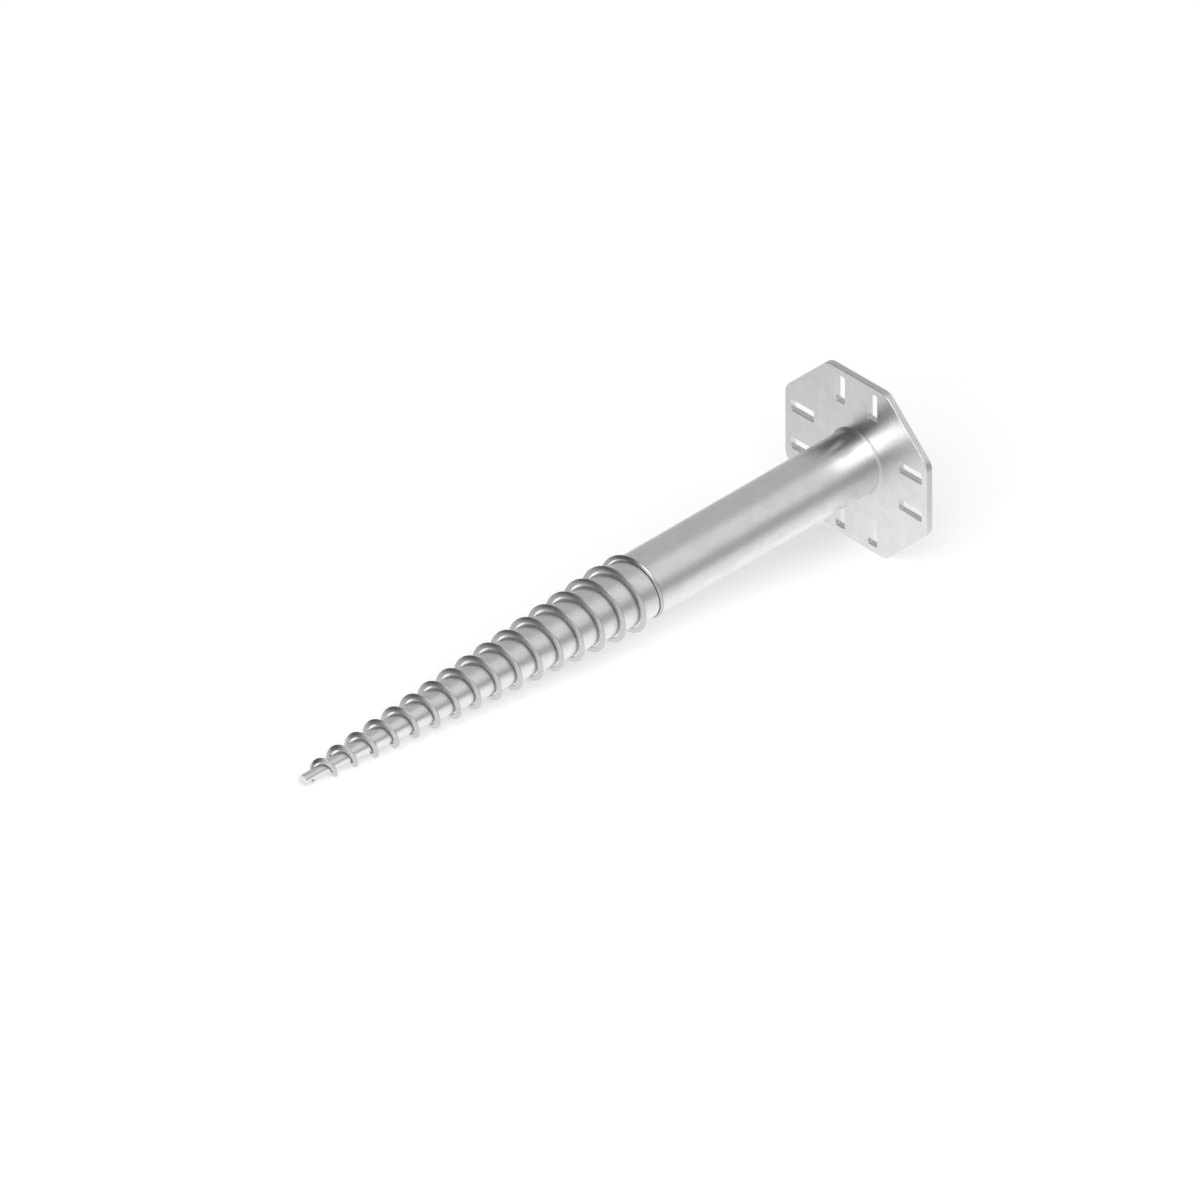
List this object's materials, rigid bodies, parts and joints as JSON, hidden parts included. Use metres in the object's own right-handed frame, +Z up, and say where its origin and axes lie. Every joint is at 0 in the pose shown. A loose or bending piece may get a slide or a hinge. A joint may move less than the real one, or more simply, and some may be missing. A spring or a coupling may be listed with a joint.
{
  "type": "foundation ground screw",
  "caption": "Galvanised steel ground screw: round tube tapering to a cone with a helical flight, welded to an octagonal flange plate with slotted holes.",
  "frame": {"origin": "middle of the flange's outer face, on the tube's axis", "axes": "+X out of the flange's outer face along the screw's axis, so the shaft and tip lie along -X; +Z up, square to one flat side of the octagonal flange, with the screw on its side"},
  "size_m": [0.865, 0.22, 0.22],
  "materials": {
    "galvanised_tube": "hot-dip galvanised, satin",
    "galvanised_plate": "hot-dip galvanised, satin",
    "galvanised_flight": "hot-dip galvanised, satin",
    "galvanised_weld": "hot-dip galvanised weld bead"
  },
  "bodies": {
    "root": {"tube_shaft": "galvanised_tube", "flange_plate": "galvanised_plate", "flange_under_weld": "galvanised_weld", "flange_end_weld": "galvanised_weld", "screw_flight": "galvanised_flight", "stitch_weld_01": "galvanised_weld", "stitch_weld_02": "galvanised_weld", "stitch_weld_03": "galvanised_weld", "stitch_weld_04": "galvanised_weld", "stitch_weld_05": "galvanised_weld", "stitch_weld_06": "galvanised_weld", "stitch_weld_07": "galvanised_weld", "stitch_weld_08": "galvanised_weld", "stitch_weld_09": "galvanised_weld", "stitch_weld_10": "galvanised_weld", "stitch_weld_11": "galvanised_weld", "stitch_weld_12": "galvanised_weld", "stitch_weld_13": "galvanised_weld", "stitch_weld_14": "galvanised_weld", "stitch_weld_15": "galvanised_weld", "stitch_weld_16": "galvanised_weld", "stitch_weld_17": "galvanised_weld"}
  },
  "joints": []
}
